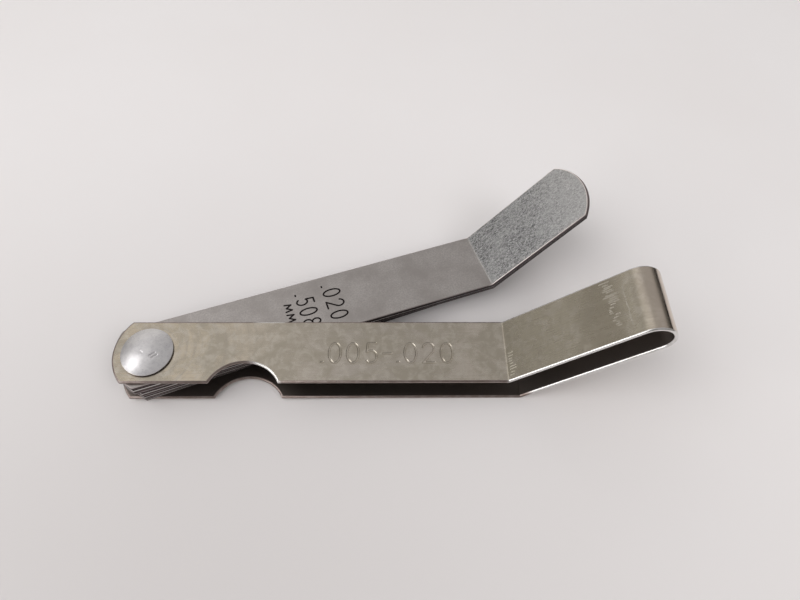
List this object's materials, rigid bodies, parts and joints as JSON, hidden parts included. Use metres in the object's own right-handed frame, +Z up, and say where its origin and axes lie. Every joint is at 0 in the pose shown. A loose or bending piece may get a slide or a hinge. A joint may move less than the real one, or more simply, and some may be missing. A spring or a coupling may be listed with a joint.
{
  "type": "feeler gauge",
  "caption": "Bent-tip feeler gauge: steel leaves of graded thickness swing on a rivet out of a folded sheet-steel case with a thumb notch.",
  "frame": {"origin": "on the rivet's axis, in the flat end of its lower head", "axes": "+X along the case from the rivet towards the bent tip, +Z up through the covers towards the domed head, leaves swing out towards +Y"},
  "size_m": [0.0968, 0.0442, 0.0252],
  "materials": {
    "case_steel": "nickel-plated sheet, handled and smudged, brushed lengthwise beyond the fold",
    "leaf_steel": "ground hardened spring steel with etched sizes",
    "rivet_metal": "satin, lightly dented"
  },
  "bodies": {
    "case": {"case": "case_steel", "rivet": "rivet_metal"},
    "leaf_20_thou": {"leaf_20_thou": "leaf_steel"},
    "leaf_19_thou": {"leaf_19_thou": "leaf_steel"},
    "leaf_18_thou": {"leaf_18_thou": "leaf_steel"},
    "leaf_17_thou": {"leaf_17_thou": "leaf_steel"},
    "leaf_16_thou": {"leaf_16_thou": "leaf_steel"},
    "leaf_15_thou": {"leaf_15_thou": "leaf_steel"},
    "leaf_14_thou": {"leaf_14_thou": "leaf_steel"},
    "leaf_13_thou": {"leaf_13_thou": "leaf_steel"},
    "leaf_12_thou": {"leaf_12_thou": "leaf_steel"},
    "leaf_11_thou": {"leaf_11_thou": "leaf_steel"},
    "leaf_10_thou": {"leaf_10_thou": "leaf_steel"},
    "leaf_09_thou": {"leaf_09_thou": "leaf_steel"},
    "leaf_08_thou": {"leaf_08_thou": "leaf_steel"},
    "leaf_07_thou": {"leaf_07_thou": "leaf_steel"},
    "leaf_06_thou": {"leaf_06_thou": "leaf_steel"},
    "leaf_05_thou": {"leaf_05_thou": "leaf_steel"}
  },
  "joints": [
    {"name": "swing_20_thou", "type": "hinge", "parent": "case", "child": "leaf_20_thou", "pos_m": [0, 0, 0.00667], "axis": [0, 0, 1], "range_deg": [-19, 161]},
    {"name": "swing_19_thou", "type": "hinge", "parent": "case", "child": "leaf_19_thou", "pos_m": [0, 0, 0.00616], "axis": [0, 0, 1], "range_deg": [-19.1, 160.9]},
    {"name": "swing_18_thou", "type": "hinge", "parent": "case", "child": "leaf_18_thou", "pos_m": [0, 0, 0.00567], "axis": [0, 0, 1], "range_deg": [-19.2, 160.8]},
    {"name": "swing_17_thou", "type": "hinge", "parent": "case", "child": "leaf_17_thou", "pos_m": [0, 0, 0.00521], "axis": [0, 0, 1], "range_deg": [-19.3, 160.7]},
    {"name": "swing_16_thou", "type": "hinge", "parent": "case", "child": "leaf_16_thou", "pos_m": [0, 0, 0.00478], "axis": [0, 0, 1], "range_deg": [-19.4, 160.6]},
    {"name": "swing_15_thou", "type": "hinge", "parent": "case", "child": "leaf_15_thou", "pos_m": [0, 0, 0.00437], "axis": [0, 0, 1], "range_deg": [-19.9, 160.1]},
    {"name": "swing_14_thou", "type": "hinge", "parent": "case", "child": "leaf_14_thou", "pos_m": [0, 0, 0.00398], "axis": [0, 0, 1], "range_deg": [-20.05, 159.95]},
    {"name": "swing_13_thou", "type": "hinge", "parent": "case", "child": "leaf_13_thou", "pos_m": [0, 0, 0.00363], "axis": [0, 0, 1], "range_deg": [-20.2, 159.8]},
    {"name": "swing_12_thou", "type": "hinge", "parent": "case", "child": "leaf_12_thou", "pos_m": [0, 0, 0.0033], "axis": [0, 0, 1], "range_deg": [-20.35, 159.65]},
    {"name": "swing_11_thou", "type": "hinge", "parent": "case", "child": "leaf_11_thou", "pos_m": [0, 0, 0.00299], "axis": [0, 0, 1], "range_deg": [-20.5, 159.5]},
    {"name": "swing_10_thou", "type": "hinge", "parent": "case", "child": "leaf_10_thou", "pos_m": [0, 0, 0.00271], "axis": [0, 0, 1], "range_deg": [-20.65, 159.35]},
    {"name": "swing_09_thou", "type": "hinge", "parent": "case", "child": "leaf_09_thou", "pos_m": [0, 0, 0.00245], "axis": [0, 0, 1], "range_deg": [-20.8, 159.2]},
    {"name": "swing_08_thou", "type": "hinge", "parent": "case", "child": "leaf_08_thou", "pos_m": [0, 0, 0.00222], "axis": [0, 0, 1], "range_deg": [-20.95, 159.05]},
    {"name": "swing_07_thou", "type": "hinge", "parent": "case", "child": "leaf_07_thou", "pos_m": [0, 0, 0.00201], "axis": [0, 0, 1], "range_deg": [-21.1, 158.9]},
    {"name": "swing_06_thou", "type": "hinge", "parent": "case", "child": "leaf_06_thou", "pos_m": [0, 0, 0.00183], "axis": [0, 0, 1], "range_deg": [-21.25, 158.75]},
    {"name": "swing_05_thou", "type": "hinge", "parent": "case", "child": "leaf_05_thou", "pos_m": [0, 0, 0.00168], "axis": [0, 0, 1], "range_deg": [-21.4, 158.6]}
  ]
}
